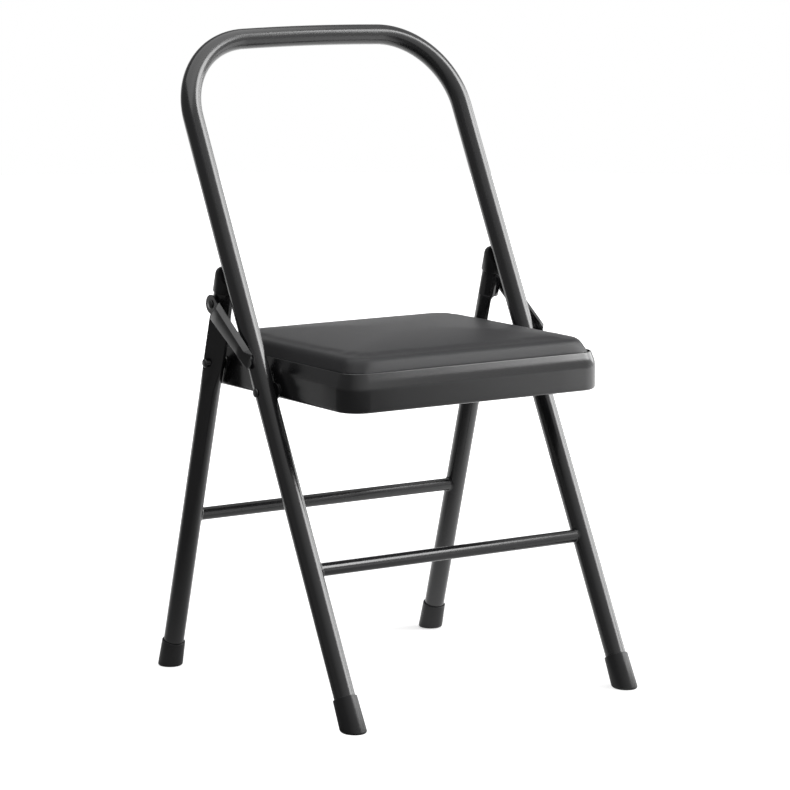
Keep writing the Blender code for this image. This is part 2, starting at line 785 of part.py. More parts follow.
def front_frame(group, cutters):
    tube = front_tube(group, cutters)
    bar = crossbar("front_crossbar", front_at(FRONT_BAR_Z), FRONT_UP, group, cutters)
    paint(tube, STEEL, 0.42, 0.3)
    paint(bar, STEEL, 0.42, 0.3)
    for word, side in SIDES:
        base = front_at(0.0)
        piece = foot("front_foot_" + word, side, base, FRONT_UP, FRONT_FOOT_TALL, group)
        paint(piece, RUBBER, 0.6)
        name = "seat_pivot_rivet_" + word
        piece = rivet(name, SEAT_PIVOT, side, PLATE_IN, OUTER + GAP, group, True)
        paint(piece, STEEL, 0.4, 0.5)
        name = "seat_pivot_spacer_" + word
        piece = washer(name, SEAT_PIVOT, side, PAN_HALF + GAP, INNER - GAP, EAR_R, group)
        paint(piece, STEEL, 0.4, 0.5)
        name = "link_pivot_rivet_" + word
        piece = rivet(name, LINK_PIVOT, side, BLIND_END + GAP, LINK_OUT, group, False)
        paint(piece, STEEL, 0.4, 0.5)
        name = "link_spacer_" + word
        piece = saddle(name, LINK_PIVOT, FRONT_UP, side, LINK_IN - GAP, True, group, cutters)
        paint(piece, STEEL, 0.4, 0.5)


def seat(group, cutters):
    pan, board, screws, plates = seat_parts(group, cutters)
    pad = cushion(group)
    paint(pan, PRESSED, 0.38, 0.4)
    paint(board, WOOD, 0.8)
    paint(pad, LEATHER, 0.5)
    for piece in screws:
        paint(piece, ZINC, 0.35, 1.0)
    for piece in plates:
        paint(piece, PRESSED, 0.45, 0.4)
    hold([pan, board, pad] + screws + plates, "seat_axis", SEAT_PIVOT, group)


def rear_legs(group, cutters):
    bar = crossbar("rear_crossbar", rear_at(REAR_BAR_Z), REAR_UP, group, cutters)
    paint(bar, STEEL, 0.42, 0.3)
    pieces = [bar]
    for word, side in SIDES:
        base = rear_at(0.0)
        piece = foot("rear_foot_" + word, side, base, REAR_UP, REAR_FOOT_TALL, group)
        paint(piece, RUBBER, 0.6)
        pieces.append(piece)
        piece = rear_leg("rear_leg_" + word, side, group, cutters)
        paint(piece, STEEL, 0.42, 0.3)
        pieces.append(piece)
        piece = rear_cap("rear_cap_" + word, side, group, cutters)
        paint(piece, RUBBER, 0.5)
        pieces.append(piece)
        name = "rear_pivot_rivet_" + word
        piece = rivet(name, LEG_PIVOT, side, PLATE_IN, OUTER + GAP, group, True)
        paint(piece, STEEL, 0.4, 0.5)
        pieces.append(piece)
        name = "rear_pivot_spacer_" + word
        piece = washer(name, LEG_PIVOT, side, PAN_HALF + GAP, INNER - GAP, SPACER_R, group)
        paint(piece, STEEL, 0.4, 0.5)
        pieces.append(piece)
        name = "link_rear_washer_" + word
        piece = saddle(name, LINK_PIN, REAR_UP, side, BOSS_OUT, False, group, cutters)
        paint(piece, STEEL, 0.4, 0.5)
        pieces.append(piece)
    hold(pieces, "rear_leg_axis", LEG_PIVOT, group)


def side_links(group, cutters):
    for word, side in SIDES:
        link = side_link("side_link_" + word, side, group, cutters)
        paint(link, PRESSED, 0.42, 0.4)
        name = "link_rear_rivet_" + word
        pin = rivet(name, LINK_PIN, side, BOSS_OUT + GAP, LINK_OUT, group, False)
        paint(pin, STEEL, 0.4, 0.5)
        hold([link, pin], "link_axis_" + word, at_x(LINK_PIVOT, side * LINK_IN), group)


def main():
    clear_scene()
    group = make_group("folding_yoga_chair")
    cutters = make_group("cutters", hidden=True)
    front_frame(group, cutters)
    seat(group, cutters)
    rear_legs(group, cutters)
    side_links(group, cutters)


main()
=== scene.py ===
"""Folding yoga chair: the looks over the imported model. Metres, +Z up, the chair faces -Y."""

import math

import bmesh
import bpy
from mathutils import Matrix, Vector


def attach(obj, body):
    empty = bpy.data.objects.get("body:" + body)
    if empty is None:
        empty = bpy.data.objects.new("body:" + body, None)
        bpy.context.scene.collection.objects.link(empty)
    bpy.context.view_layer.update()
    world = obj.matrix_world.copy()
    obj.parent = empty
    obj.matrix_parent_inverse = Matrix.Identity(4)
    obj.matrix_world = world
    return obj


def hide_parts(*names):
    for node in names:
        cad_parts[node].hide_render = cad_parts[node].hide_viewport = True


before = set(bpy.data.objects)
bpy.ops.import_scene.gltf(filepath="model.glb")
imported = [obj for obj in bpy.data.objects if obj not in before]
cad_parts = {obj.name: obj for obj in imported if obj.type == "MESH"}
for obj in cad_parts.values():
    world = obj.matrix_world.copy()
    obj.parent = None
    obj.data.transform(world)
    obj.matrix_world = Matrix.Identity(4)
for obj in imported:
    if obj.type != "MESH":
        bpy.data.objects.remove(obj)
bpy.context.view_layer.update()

SIDES = (("left", -1), ("right", 1))

# Tubes
TUBE_R = 0.0127
HALF_TRACK = 0.200
GAP = 0.0003
TUBE_SIDES = 56

# Front frame and rear legs: axis on the floor, lean as dy per dz
FRONT_FLOOR_Y = -0.2105
FRONT_SLOPE = 0.506
REAR_FLOOR_Y = 0.2105
REAR_SLOPE = -0.282

# Bow: the crown is the half angle of its flat arch, in degrees
HEIGHT = 0.800
BOW_RADIUS = 0.103
BOW_CROWN = 1.8
BOW_RISE = 0.0012
BEND_STEPS = 28
STRAIGHT_STEPS = 8
ARCH_STEPS = 8

# Crossbars and their weld fillets
BAR_R = 0.008
BAR_SIDES = 48
FRONT_BAR_Z = 0.177
REAR_BAR_Z = 0.2018
WELD = 0.0018
WELD_DEGREES = (0, 22, 45, 68, 90)

# Feet: the mouth goes in round the tube at these depths below the rim
FRONT_FOOT_TALL = 0.0375
REAR_FOOT_TALL = 0.0340
FOOT_RIM_R = 0.0146
FOOT_SOLE_R = 0.0155
FOOT_SOLE_MARGIN = 0.004
FOOT_ROUND = 0.0032
FOOT_LIP = 0.0007
FOOT_MOUTH = (0.0002, 0.003)
TUBE_IN_FOOT = 0.0115

# Pivots
SEAT_PIVOT_Z = 0.378
LEG_PIVOT_Z = 0.400
LINK_PIN_Z = 0.475
FOLDED_GAP = 0.029

# Rivets: the dome starts at the first share of the head's height and adds the second,
# and the rim below it goes through (inset, share of the height)
PIN_R = 0.003
PIN_IN_TUBE = 0.004
HEAD_R = 0.0055
HEAD_TALL = 0.0022
HEAD_DOME = (0.22, 0.78)
HEAD_RIM = ((0.0, 0.25), (0.0, 0.08), (0.0002, 0.0))

# Seat pan
SEAT_TILT = math.radians(0.3)
PAN_HALF = 0.185
PAN_FRONT_Y = -0.1825
PAN_REAR_Y = 0.1395
PAN_LOW_Z = 0.3700
PAN_RIM_Z = 0.4165
PAN_FLARE = 0.0019
FLARE_FROM_Y = -0.045
PAN_CORNER = 0.030
PAN_WALL = 0.0015
PAN_WALL_ROUND = 0.001
PAN_WALL_SHARES = (0.3, 0.6, 0.85)
PAN_HEM = 0.0040
HEM_WIDE = 0.0080
HEM_THICK = 0.0020
HEM_ROUND = 0.0004
RIM_WIDE = 0.0073
RIM_LIP = 0.0007
RECESS_DEEP = 0.0095
DECK_MARGIN = 0.0120

# Foot of the recess in the pan: (further in than the rim, above the deck)
RECESS_FOOT = ((0.0008, 0.0), (0.0002, 0.0003), (0.0, 0.0010))

# Shoulder between the pan's rim and its wall: (inset, drop)
SHOULDER = (
    (0.0062, 0.0),
    (0.0058, 0.00004),
    (0.0055, 0.00018),
    (0.0052, 0.00050),
    (0.0050, 0.00100),
    (0.0046, 0.0020),
    (0.0038, 0.0040),
    (0.0030, 0.0060),
    (0.0022, 0.0080),
    (0.0015, 0.0100),
    (0.00095, 0.0120),
    (0.00055, 0.0140),
    (0.00027, 0.0160),
    (0.0001, 0.0180),
    (0.0, 0.0205),
)

# Cushion
BOARD_THICK = 0.0055
BOARD_INSET = 0.0042
CUSHION_INSET = 0.0076
CUSHION_EDGE = 0.0203
CUSHION_CORNER = 0.0240
CUSHION_CROWN = 0.0098
CROWN_POWER = 2.2
CROWN_SCALES = (0.93, 0.86, 0.74, 0.62, 0.46, 0.30, 0.15)
CUSHION_SHARP = 70

# Side of the cushion: (inset, share of the edge height)
CUSHION_SIDES = (
    (BOARD_INSET, 0.0),
    (0.0002, 0.05),
    (0.0, 0.10),
    (0.0012, 0.22),
    (0.0032, 0.44),
    (0.0053, 0.66),
    (0.0070, 0.84),
    (0.0082, 0.93),
    (0.0104, 0.985),
    (0.0140, 1.00),
)

# Cover: how far the form stays back, of that the shares at its sides and on top,
# how far the cloth may swell, and the height over the base where it is held or smoothed
CUSHION_SLACK = 0.0014
SLACK_AT_SIDES = 0.35
SLACK_ON_TOP = 0.5
CUSHION_SWELL = 0.0016
COVER_VOXEL = 0.0034
COVER_HELD = 0.0035
COVER_SMOOTHED = 0.004
COVER_FRAMES = 20

# Rear leg pressing: the dish is the share of its roundness that the flat side keeps
PRESS_LOW_Z = 0.420
PRESS_HIGH_Z = LINK_PIN_Z - 0.0245
PRESS_BLEND = 0.009
PRESS_RUN = 0.060
PRESS_WIDENS = 0.06
PRESS_FACE = 0.0040
PRESS_DISH = 0.06
PRESS_TURN = math.radians(34)
PRESS_STEPS = 16
PLAIN_LEVELS = (0.10, 0.20, 0.30)

# Rear cap: its rim goes through (inset, height above the rim)
CAP_RIM_Z = LINK_PIN_Z + 0.0145
CAP_TOP_Z = CAP_RIM_Z + 0.0302
CAP_R = 0.0142
CAP_DOME = 0.0088
CAP_FULLNESS = 0.65
CAP_RIM = ((0.0, 0.0006), (0.0002, 0.0002), (0.0005, 0.0))
CAP_MOUTH = 0.004
CAP_EDGE = 0.0007
LEG_TOP_Z = CAP_RIM_Z + 0.0055

# Side link
LINK_STANDS_OFF = 0.0023
LINK_SHEET = 0.0018
LINK_DEEP = 0.0078
LINK_BACK = 0.0106
LINK_BACK_IN = 0.0134
LINK_FRONT = 0.0088
LINK_FRONT_LOW = 0.0026
LINK_SLOPE = 0.0040
LINK_LOW_SLOPE = 0.0090
LINK_LOW_END = 0.0062
LINK_HIGH_END = 1.6 * LINK_SLOPE
LINK_STEP = 0.0003
LINK_STATIONS = 6
LINK_ROUND = 0.0018
LINK_EDGE = 0.0003
EYE_R = 0.0116
EYE_STEPS = 32
LINK_TAIL = 0.0080

# Smallest radius of a turned piece, and the usual edge angle from which an edge stays sharp
AXIS_R = 0.0001
SHARP = 32

# Camera
CAMERA_PLACE = Vector((-2.4179, -3.5656, 1.0162))
CAMERA_AIM = Vector((0.00736, 0.0095, 0.3530))
CAMERA_LENS = 161.14
CAMERA_SENSOR = 36.0

# Room: the side on which it is light, its levels there and on the other side
ROOM_SIDE = (0.643, -0.766, 0.0)
ROOM_RUN = (-0.30, 1.0)
ROOM_DARK = 0.19
ROOM_LIGHT = 0.70

# Backdrop: the side on which it stands, its edge, its top, and how much of it lights the chair
WHITE_SIDE = (0.866, 0.5, 0.0)
WHITE_EDGE = (0.30, 0.60)
WHITE_TOP = (0.06, 0.34)
BACKDROP_LIGHT = 1.0

# Floor: its pale side, its colour, how much of its white is mirrored, and the level that
# the camera sees, which turns plain white between the two distances of the fade
FLOOR_SIDE = (0.839, 0.545, 0.0)
FLOOR_RADIUS = 7.0
FLOOR_DOWN = 0.0002
PALE_RUN = (-0.35, 0.40)
# Painted shade: the floor's colour on the side away from the lamps, darker than its pale side
FLOOR_PAINTED_SHADE = 0.15
FLOOR_PALE = 0.90
# Painted light in reflections: gloss sees the floor's glow only towards its pale side
MIRRORED_RUN = (-0.15, 0.35)
FLOOR_MIRRORED = 0.48
FLOOR_SEEN = 1.33
FLOOR_FADE = (0.45, 1.2)

# Lamps: name, place, aim, size, radiance and the line that the width runs along
LAMP_AIM = (0.0, 0.0, 0.45)
STRIP_LINE = (0.60, 0.71, -0.37)
LAMPS = (
    ("strip_front", (4.39, -2.62, 3.69), LAMP_AIM, (2.95, 2.9), 5.9, STRIP_LINE),
    ("strip_side", (6.52, -0.09, 2.37), LAMP_AIM, (4.2, 2.6), 3.0, STRIP_LINE),
    ("panel_top", (-0.2, 0.1, 2.9), (0.0, 0.0, 0.4), (3.4, 3.4), 1.0, (1.0, 0.0, 0.0)),
)


def front_at(z):
    return Vector((0.0, FRONT_FLOOR_Y + FRONT_SLOPE * z, z))


def rear_at(z):
    return Vector((0.0, REAR_FLOOR_Y + REAR_SLOPE * z, z))


def at_x(point, x):
    return Vector((x, point.y, point.z))


FRONT_UP = Vector((0.0, FRONT_SLOPE, 1.0)).normalized()
FRONT_BEHIND = Vector((0.0, FRONT_UP.z, -FRONT_UP.y))
REAR_UP = Vector((0.0, REAR_SLOPE, 1.0)).normalized()
REAR_BEHIND = Vector((0.0, REAR_UP.z, -REAR_UP.y))
SEAT_PIVOT = front_at(SEAT_PIVOT_Z)
LEG_PIVOT = rear_at(LEG_PIVOT_Z)
LINK_PIN = rear_at(LINK_PIN_Z)


def link_pivot():
    """The point of the front tube axis at one distance from the link pin, open and folded."""
    reach = (LEG_PIVOT - SEAT_PIVOT).length
    drop = math.sqrt(reach**2 - FOLDED_GAP**2)
    leg_folded = SEAT_PIVOT - drop * FRONT_UP + FOLDED_GAP * FRONT_BEHIND
    pin_folded = leg_folded + (LINK_PIN - LEG_PIVOT).length * FRONT_UP
    here = LINK_PIN - SEAT_PIVOT
    there = pin_folded - SEAT_PIVOT
    along = (here.length_squared - there.length_squared) / (2 * FRONT_UP.dot(here - there))
    return SEAT_PIVOT + along * FRONT_UP


LINK_PIVOT = link_pivot()
LINK_LONG = (LINK_PIN - LINK_PIVOT).length
LINK_ALONG = (LINK_PIN - LINK_PIVOT).normalized()
SEAT_FRAME = (
    Matrix.Translation(SEAT_PIVOT)
    @ Matrix.Rotation(SEAT_TILT, 4, "X")
    @ Matrix.Translation(-SEAT_PIVOT)
)
OUTER = HALF_TRACK + TUBE_R
BORE_R = TUBE_R + GAP
LINK_IN = OUTER + LINK_STANDS_OFF
LINK_OUT = LINK_IN + LINK_SHEET + GAP
BOSS_OUT = OUTER + LINK_STANDS_OFF / 2
DECK_TOP_Z = PAN_RIM_Z - RECESS_DEEP
DECK_LOW_Z = DECK_TOP_Z - PAN_WALL
CUSHION_BASE_Z = DECK_TOP_Z + GAP + BOARD_THICK + GAP


# Meshes


def shade(obj, sharp=SHARP):
    """Smooth shading apart from edges sharper than the given angle in degrees."""
    for polygon in obj.data.polygons:
        polygon.use_smooth = True
    obj.data.set_sharp_from_angle(angle=math.radians(sharp))


def add_piece(name, bm, matrix=None, sharp=SHARP):
    """A smoothly shaded mesh object from bm."""
    bmesh.ops.recalc_face_normals(bm, faces=bm.faces)
    mesh = bpy.data.meshes.new(name)
    bm.to_mesh(mesh)
    bm.free()
    obj = bpy.data.objects.new(name, mesh)
    bpy.context.scene.collection.objects.link(obj)
    if matrix is not None:
        obj.matrix_world = matrix
    shade(obj, sharp)
    return obj


def apply_modifiers(obj, sharp=SHARP):
    bpy.context.view_layer.update()
    graph = bpy.context.evaluated_depsgraph_get()
    mesh = bpy.data.meshes.new_from_object(obj.evaluated_get(graph))
    obj.modifiers.clear()
    obj.data = mesh
    shade(obj, sharp)


def round_edges(obj, width, segments, limit=40):
    """A bevel on the edges sharper than limit degrees, left as a modifier."""
    bevel = obj.modifiers.new("round", "BEVEL")
    bevel.width = width
    bevel.segments = segments
    bevel.limit_method = "ANGLE"
    bevel.angle_limit = math.radians(limit)


def subdivide(obj, levels):
    finer = obj.modifiers.new("finer", "SUBSURF")
    finer.levels = levels
    finer.render_levels = levels
    apply_modifiers(obj, CUSHION_SHARP)


def skin(name, rings, matrix=None, sharp=SHARP):
    """A closed piece: faces between neighbouring rings of points, and one over each end."""
    bm = bmesh.new()
    verts = [[bm.verts.new(point) for point in ring] for ring in rings]
    for lower, upper in zip(verts, verts[1:]):
        count = len(lower)
        for i in range(count):
            j = (i + 1) % count
            bm.faces.new((lower[i], lower[j], upper[j], upper[i]))
    bm.faces.new(verts[0])
    bm.faces.new(verts[-1])
    return add_piece(name, bm, matrix, sharp)


def circle(steps):
    """(cos, sin) of equal steps once round."""
    angles = [2 * math.pi * i / steps for i in range(steps)]
    return [(math.cos(angle), math.sin(angle)) for angle in angles]


def quarter(degrees):
    """(1 - cos, 1 - sin) of the given angles, which round an edge."""
    angles = [math.radians(value) for value in degrees]
    return [(1 - math.cos(angle), 1 - math.sin(angle)) for angle in angles]


def arc(centre, radius, start, end, steps):
    """Points on a circle, angles in degrees."""
    points = []
    for i in range(steps + 1):
        angle = math.radians(start + (end - start) * i / steps)
        points.append((centre[0] + radius * math.cos(angle), centre[1] + radius * math.sin(angle)))
    return points


def turned(name, profile, base, direction, steps):
    """A turned piece about the line through base; the profile is (radius, height) pairs."""
    rings = [
        [Vector((radius * cos, radius * sin, height)) for cos, sin in circle(steps)]
        for radius, height in profile
    ]
    turn = Vector(direction).to_track_quat("Z", "Y").to_matrix().to_4x4()
    return skin(name, rings, Matrix.Translation(base) @ turn)


# Nodes


def new_material(name, colour, rough, metal=0.0, specular=0.5):
    material = bpy.data.materials.new(name)
    material.use_nodes = True
    shader = material.node_tree.nodes["Principled BSDF"]
    shader.inputs["Base Color"].default_value = (*colour, 1.0)
    shader.inputs["Roughness"].default_value = rough
    shader.inputs["Metallic"].default_value = metal
    shader.inputs["Specular IOR Level"].default_value = specular
    material.diffuse_color = (*colour, 1.0)
    return material, material.node_tree, shader


def add_node(tree, kind, **values):
    """A node whose sockets or settings of these names get these values."""
    node = tree.nodes.new(kind)
    for key, value in values.items():
        if key in node.inputs:
            node.inputs[key].default_value = value
        else:
            setattr(node, key, value)
    return node


def object_point(tree):
    return tree.nodes.new("ShaderNodeTexCoord").outputs["Object"]


def noise(tree, point, scale, detail):
    node = add_node(tree, "ShaderNodeTexNoise", Scale=scale, Detail=detail, Roughness=0.55)
    tree.links.new(point, node.inputs["Vector"])
    return node.outputs["Fac"]


def ramp(tree, source, span, start, end):
    """Maps a value from the span (low, high) to start..end."""
    node = tree.nodes.new("ShaderNodeMapRange")
    for socket, value in zip(("From Min", "From Max", "To Min", "To Max"), (*span, start, end)):
        node.inputs[socket].default_value = value
    tree.links.new(source, node.inputs["Value"])
    return node.outputs["Result"]


def arithmetic(tree, operation, *terms):
    """A Math node; each term is a number or the output that gives it."""
    node = add_node(tree, "ShaderNodeMath", operation=operation)
    for socket, term in zip(node.inputs, terms):
        if isinstance(term, float):
            socket.default_value = term
        else:
            tree.links.new(term, socket)
    return node.outputs["Value"]


def lies_towards(tree, point, side):
    """How far a point or a direction lies towards the given side."""
    node = add_node(tree, "ShaderNodeVectorMath", operation="DOT_PRODUCT")
    node.inputs[1].default_value = side
    tree.links.new(point, node.inputs[0])
    return node.outputs["Value"]


def mirrored_rays(tree, path):
    """1 for the rays that metal and glass send on, else 0."""
    glossy = path.outputs["Is Glossy Ray"]
    return arithmetic(tree, "MAXIMUM", glossy, path.outputs["Is Transmission Ray"])


def grey(tree, value):
    join = tree.nodes.new("ShaderNodeCombineColor")
    for channel in ("Red", "Green", "Blue"):
        tree.links.new(value, join.inputs[channel])
    return join.outputs["Color"]


def add_bump(tree, shader, height, distance, strength, under=None):
    """A bump on the shader, laid over the bump that is given as under."""
    node = add_node(tree, "ShaderNodeBump", Strength=strength, Distance=distance)
    tree.links.new(height, node.inputs["Height"])
    if under is not None:
        tree.links.new(under.outputs["Normal"], node.inputs["Normal"])
    tree.links.new(node.outputs["Normal"], shader.inputs["Normal"])
    return node


def vary_colour(tree, shader, factor, first, second):
    node = tree.nodes.new("ShaderNodeMix")
    node.data_type = "RGBA"
    node.inputs["A"].default_value = (*first, 1.0)
    node.inputs["B"].default_value = (*second, 1.0)
    tree.links.new(factor, node.inputs["Factor"])
    tree.links.new(node.outputs["Result"], shader.inputs["Base Color"])


def vary_gloss(tree, shader, factor, span, start, end):
    tree.links.new(ramp(tree, factor, span, start, end), shader.inputs["Roughness"])


def scaled(colour, by):
    return tuple(value * by for value in colour)


# Materials: the noise of a cloud or a grain stays mostly between these values
NOISE_SPAN = (0.3, 0.7)


def coated_steel(name, colour, rough):
    """Satin black powder coat: fine orange peel, faint clouding of colour and gloss."""
    material, tree, shader = new_material(name, colour, rough, specular=0.75)
    shader.inputs["Coat Weight"].default_value = 0.45
    shader.inputs["Coat Roughness"].default_value = 0.14
    point = object_point(tree)
    cloud = noise(tree, point, scale=14.0, detail=3.0)
    peel = noise(tree, point, scale=500.0, detail=2.0)
    vary_colour(tree, shader, cloud, scaled(colour, 0.85), scaled(colour, 1.25))
    vary_gloss(tree, shader, cloud, NOISE_SPAN, rough - 0.03, rough + 0.04)
    add_bump(tree, shader, peel, distance=0.00003, strength=0.10)
    return material


def moulded(name, colour, rough):
    """Moulded rubber or plastic: a dull skin with a very fine grain."""
    material, tree, shader = new_material(name, colour, rough, specular=0.45)
    point = object_point(tree)
    cloud = noise(tree, point, scale=40.0, detail=3.0)
    grain = noise(tree, point, scale=2200.0, detail=2.0)
    vary_colour(tree, shader, cloud, colour, scaled(colour, 1.3))
    vary_gloss(tree, shader, cloud, NOISE_SPAN, rough - 0.04, rough + 0.06)
    add_bump(tree, shader, grain, distance=0.00005, strength=0.3)
    return material


def cover_leather(name, colour):
    """Leather-like cover: small cells with creases between them, over a soft unevenness."""
    material, tree, shader = new_material(name, colour, 0.40, specular=0.46)
    shader.inputs["Sheen Weight"].default_value = 0.06
    shader.inputs["Sheen Roughness"].default_value = 0.4
    point = object_point(tree)
    cells = add_node(tree, "ShaderNodeTexVoronoi", Scale=850.0, Randomness=1.0)
    cells.feature = "DISTANCE_TO_EDGE"
    tree.links.new(point, cells.inputs["Vector"])
    crease = ramp(tree, cells.outputs["Distance"], (0.0, 0.18), 0.0, 1.0)
    soft = noise(tree, point, scale=22.0, detail=4.0)
    fine = noise(tree, point, scale=1800.0, detail=2.0)
    vary_colour(tree, shader, soft, scaled(colour, 0.86), scaled(colour, 1.16))
    vary_gloss(tree, shader, crease, (0.0, 1.0), 0.50, 0.38)
    under = add_bump(tree, shader, soft, distance=0.0015, strength=0.12)
    middle = add_bump(tree, shader, crease, distance=0.00008, strength=0.35, under=under)
    add_bump(tree, shader, fine, distance=0.00003, strength=0.3, under=middle)
    return material


def plywood_painted_shade(name):
    """Plywood board, coloured dark all over as painted shade for the groove where it shows; seen
    only in the groove and from below.
    """
    # Painted shade: the board's browns are kept dark so that it reads as shaded in the groove; the
    # grain between them is the wood's own.
    material, tree, shader = new_material(name, (0.080, 0.060, 0.045), 0.75)
    stretch = tree.nodes.new("ShaderNodeMapping")
    stretch.inputs["Scale"].default_value = (6.0, 90.0, 90.0)
    tree.links.new(object_point(tree), stretch.inputs["Vector"])
    grain = noise(tree, stretch.outputs["Vector"], scale=3.0, detail=4.0)
    vary_colour(tree, shader, grain, (0.055, 0.042, 0.032), (0.100, 0.076, 0.058))
    return material


def zinc_plate(name):
    """Bright zinc on the screws, with fine scratches."""
    material, tree, shader = new_material(name, (0.55, 0.56, 0.58), 0.34, metal=1.0)
    scratches = noise(tree, object_point(tree), scale=600.0, detail=3.0)
    vary_gloss(tree, shader, scratches, NOISE_SPAN, 0.28, 0.42)
    return material


TUBE_BLACK = coated_steel("tube_black", (0.010, 0.010, 0.011), 0.22)
PRESSED_BLACK = coated_steel("pressed_black", (0.009, 0.009, 0.010), 0.20)
FASTENER_BLACK = coated_steel("fastener_black", (0.014, 0.014, 0.015), 0.30)
FOOT_RUBBER = moulded("foot_rubber", (0.016, 0.016, 0.017), 0.30)
CAP_PLASTIC = moulded("cap_plastic", (0.015, 0.015, 0.016), 0.34)
COVER = cover_leather("cover_leather", (0.021, 0.021, 0.023))
BOARD = plywood_painted_shade("board_wood")
ZINC = zinc_plate("screw_zinc")


def paint(obj, material):
    obj.data.materials.clear()
    obj.data.materials.append(material)


def dress(obj, material, body, slot, *nodes):
    """Gives a piece its material and body, and hides the CAD nodes that it stands for; slot is not
    used.
    """
    paint(obj, material)
    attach(obj, body)
    if nodes:
        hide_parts(*nodes)


# Tubes


def bow_path():
    """Points (x, along) of the front tube's axis in its leaning plane, with their headings.

    The top is a very flat arch, so each bend turns through a little less than a right angle.
    """
    top = (HEIGHT - TUBE_R) / FRONT_UP.z + BOW_RISE
    crown = math.radians(BOW_CROWN)
    turn = HALF_TRACK - BOW_RADIUS
    arch = turn / math.sin(crown) + BOW_RADIUS
    spring = top - BOW_RADIUS * math.cos(crown) - arch * (1 - math.cos(crown))
    swept = 90.0 - BOW_CROWN
    straight = [
        TUBE_IN_FOOT + (spring - TUBE_IN_FOOT) * i / STRAIGHT_STEPS for i in range(STRAIGHT_STEPS)
    ]
    left_bend = arc((-turn, spring), BOW_RADIUS, 180, 90 + BOW_CROWN, BEND_STEPS)
    flat_arch = arc((0.0, top - arch), arch, 90 + BOW_CROWN, 90 - BOW_CROWN, ARCH_STEPS)
    right_bend = arc((turn, spring), BOW_RADIUS, 90 - BOW_CROWN, 0, BEND_STEPS)
    path = [(-HALF_TRACK, along, 90.0) for along in straight]
    for step, (x, along) in enumerate(left_bend):
        path.append((x, along, 90.0 - swept * step / BEND_STEPS))
    for step, (x, along) in enumerate(flat_arch[1:-1], 1):
        path.append((x, along, BOW_CROWN - 2 * BOW_CROWN * step / ARCH_STEPS))
    for step, (x, along) in enumerate(right_bend):
        path.append((x, along, -BOW_CROWN - swept * step / BEND_STEPS))
    path += [(HALF_TRACK, along, -90.0) for along in reversed(straight)]
    return path


def front_tube():
    """The bent tube: both front legs and the bow."""
    rings = []
    for x, along, heading in bow_path():
        angle = math.radians(heading)
        ahead = Vector((math.cos(angle), 0.0, 0.0)) + FRONT_UP * math.sin(angle)
        beside = ahead.cross(FRONT_BEHIND)
        centre = front_at(0.0) + FRONT_UP * along + Vector((x, 0.0, 0.0))
        ring = []
        for cos, sin in circle(TUBE_SIDES):
            ring.append(centre + (beside * cos + FRONT_BEHIND * sin) * TUBE_R)
        rings.append(ring)
    tube = skin("front_tube", rings)
    dress(tube, TUBE_BLACK, "front_frame", "tube_steel", "front_frame_tube")


def press_share(z):
    """How far the rear leg is pressed flat here, 0 to 1: an arch above, a slow start below."""
    if z < PRESS_LOW_Z:
        share = max(0.0, 1.0 - (PRESS_LOW_Z - z) / PRESS_RUN)
        return share * share * (3 - 2 * share)
    past = max(z - PRESS_HIGH_Z, 0.0) / PRESS_BLEND
    return math.sqrt(max(0.0, 1.0 - past**2))


def rear_levels():
    """The heights of the rear leg's sections, close together where the pressing ends."""
    shares = [i / PRESS_STEPS for i in range(PRESS_STEPS + 1)]
    levels = [TUBE_IN_FOOT * REAR_UP.z, *PLAIN_LEVELS]
    levels += [PRESS_LOW_Z - PRESS_RUN * (1 - share) for share in shares]
    levels += [PRESS_LOW_Z + (PRESS_HIGH_Z - PRESS_LOW_Z) * i / 5 for i in range(1, 5)]
    levels += [PRESS_HIGH_Z + PRESS_BLEND * math.sin(math.pi / 2 * share) for share in shares]
    levels.append(LEG_TOP_Z)
    return levels


def rear_tube(word, side):
    """The rear leg, pressed flat on its outer front side near the top."""
    outward = Vector((side, 0.0, 0.0))
    facing = outward * math.cos(PRESS_TURN) - REAR_BEHIND * math.sin(PRESS_TURN)
    beside = outward * math.sin(PRESS_TURN) + REAR_BEHIND * math.cos(PRESS_TURN)
    rings = []
    for z in rear_levels():
        share = press_share(z)
        centre = at_x(rear_at(z), side * HALF_TRACK)
        ring = []
        for cos, sin in circle(TUBE_SIDES):
            out = TUBE_R * cos
            across = TUBE_R * sin
            if out > PRESS_FACE:
                flat = PRESS_FACE + (out - PRESS_FACE) * PRESS_DISH
                out += (flat - out) * share
            across *= 1.0 + PRESS_WIDENS * share
            ring.append(centre + facing * out + beside * across)
        rings.append(ring)
    leg = skin("rear_tube_" + word, rings, sharp=50)
    dress(leg, TUBE_BLACK, "rear_legs", "tube_steel", "rear_leg_" + word)


def crossbar(word, centre, behind, body):
    """A round bar that meets both tubes in a small weld fillet."""
    above = behind.cross(Vector((1.0, 0.0, 0.0)))

    def end_ring(radius, stand_off, side):
        ring = []
        for cos, sin in circle(BAR_SIDES):
            across = radius * cos
            meets = HALF_TRACK - math.sqrt(max(BORE_R**2 - across**2, 0.0))
            end = Vector((side * (meets - stand_off), 0, 0))
            ring.append(end + centre + behind * across + above * (radius * sin))
        return ring

    fillet = []
    for less_cos, less_sin in quarter(WELD_DEGREES):
        fillet.append((BAR_R + WELD * less_sin, WELD * less_cos))
    rings = [end_ring(radius, off, -1) for radius, off in fillet]
    rings += [end_ring(radius, off, 1) for radius, off in reversed(fillet)]
    bar = skin("bar_" + word, rings, sharp=50)
    dress(bar, TUBE_BLACK, body, "tube_steel", word + "_crossbar")


